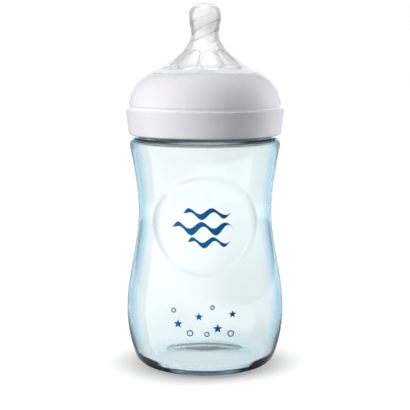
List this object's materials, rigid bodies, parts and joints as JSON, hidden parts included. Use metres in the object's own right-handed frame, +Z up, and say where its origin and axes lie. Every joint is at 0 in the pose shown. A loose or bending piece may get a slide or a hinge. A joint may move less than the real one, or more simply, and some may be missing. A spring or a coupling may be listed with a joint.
{
  "type": "baby bottle",
  "caption": "Wide-neck feeding bottle: waisted clear bottle with a round raised medallion, a domed white screw ring and a soft breast-shaped teat with inner petals.",
  "frame": {"origin": "centre of the foot on the table, on the bottle's axis", "axes": "+Z up along the bottle's axis towards the teat, -Y out of the round medallion, +X to the right of it"},
  "size_m": [0.0708, 0.0708, 0.1619],
  "materials": {
    "clear_polypropylene": "moulded clear, pale blue tint, polished",
    "white_polypropylene": "moulded opaque white, polished",
    "clear_silicone": "moulded milky clear, satin"
  },
  "bodies": {
    "bottle": {"bottle": "clear_polypropylene"},
    "teat": {"teat": "clear_silicone"},
    "screw_ring": {"screw_ring": "white_polypropylene"}
  },
  "joints": [
    {"name": "teat_lift", "type": "slide", "parent": "bottle", "child": "teat", "axis": [0, 0, 1], "range_m": [0, 0.01]},
    {"name": "ring_turn", "type": "hinge", "parent": "teat", "child": "screw_ring", "pos_m": [0, 0, 0.112], "axis": [0, 0, 1], "range_deg": [0, 450]}
  ],
  "couplings": [
    {"joint": "teat_lift", "follows": "ring_turn", "m_per_rad": 0.0012732}
  ]
}
